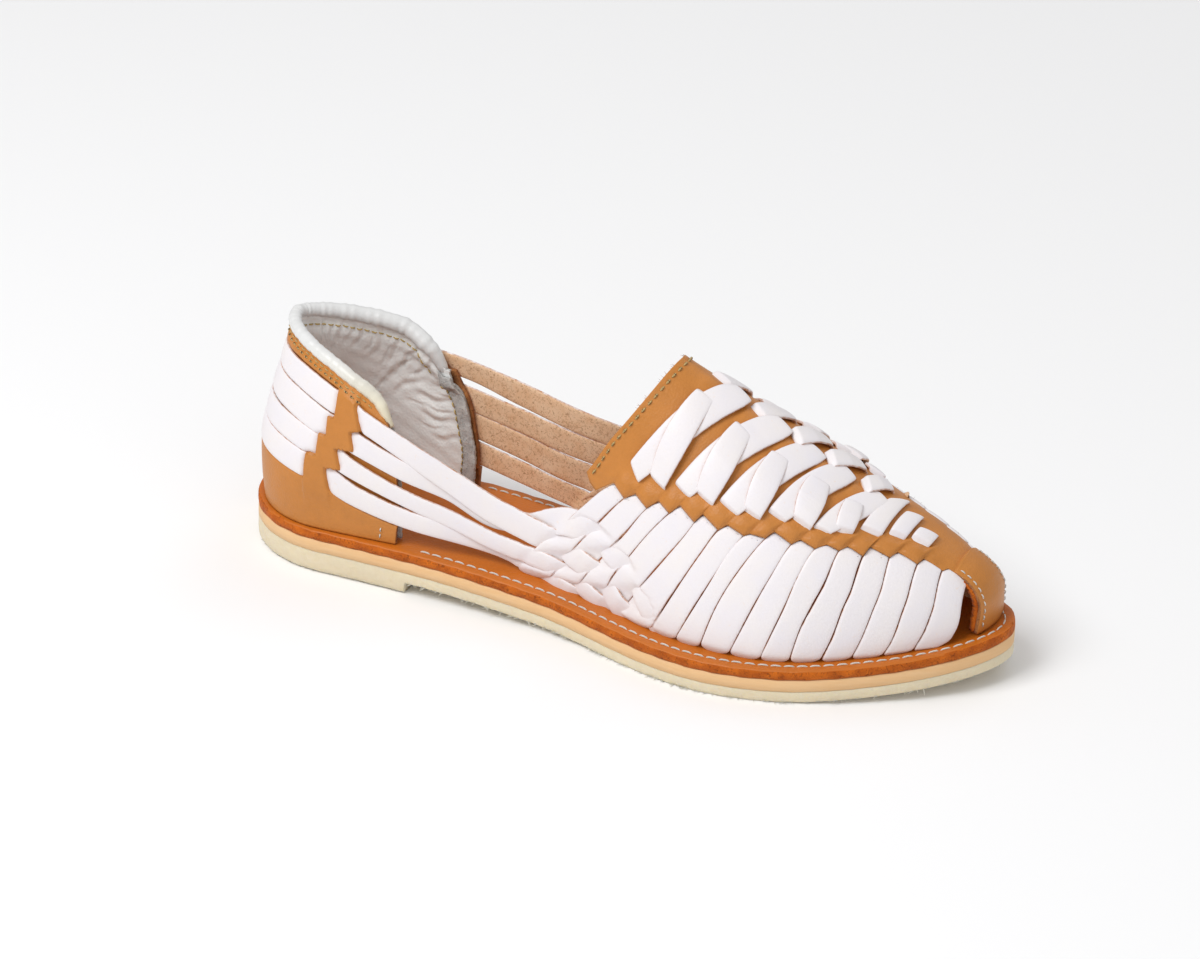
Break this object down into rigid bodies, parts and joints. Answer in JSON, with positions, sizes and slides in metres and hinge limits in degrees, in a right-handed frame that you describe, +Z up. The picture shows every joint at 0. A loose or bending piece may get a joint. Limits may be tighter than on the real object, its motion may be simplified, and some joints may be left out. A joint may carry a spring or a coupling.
{
  "type": "huarache sandal",
  "caption": "Flat woven leather huarache sandal with a strap-woven vamp, small toe opening, open waist, slit heel counter with a rolled collar and a crepe sole.",
  "frame": {"origin": "on the floor, under the middle of the sandal's bounding box", "axes": "+X from heel to toe, +Y to the inner side of the foot, +Z up"},
  "size_m": [0.2498, 0.0902, 0.0892],
  "materials": {
    "crepe": "translucent natural crepe rubber",
    "midsole_leather": "pale vegetable-tanned leather edge",
    "tan_leather": "smooth tan leather with a soft sheen",
    "white_leather": "smooth white leather strap",
    "grey_leather": "light grey lining leather"
  },
  "bodies": {
    "root": {"outsole": "crepe", "midsole": "midsole_leather", "insole": "tan_leather", "upper": "white_leather", "counter": "tan_leather", "collar": "grey_leather", "vamp_panel": "tan_leather"}
  },
  "joints": []
}
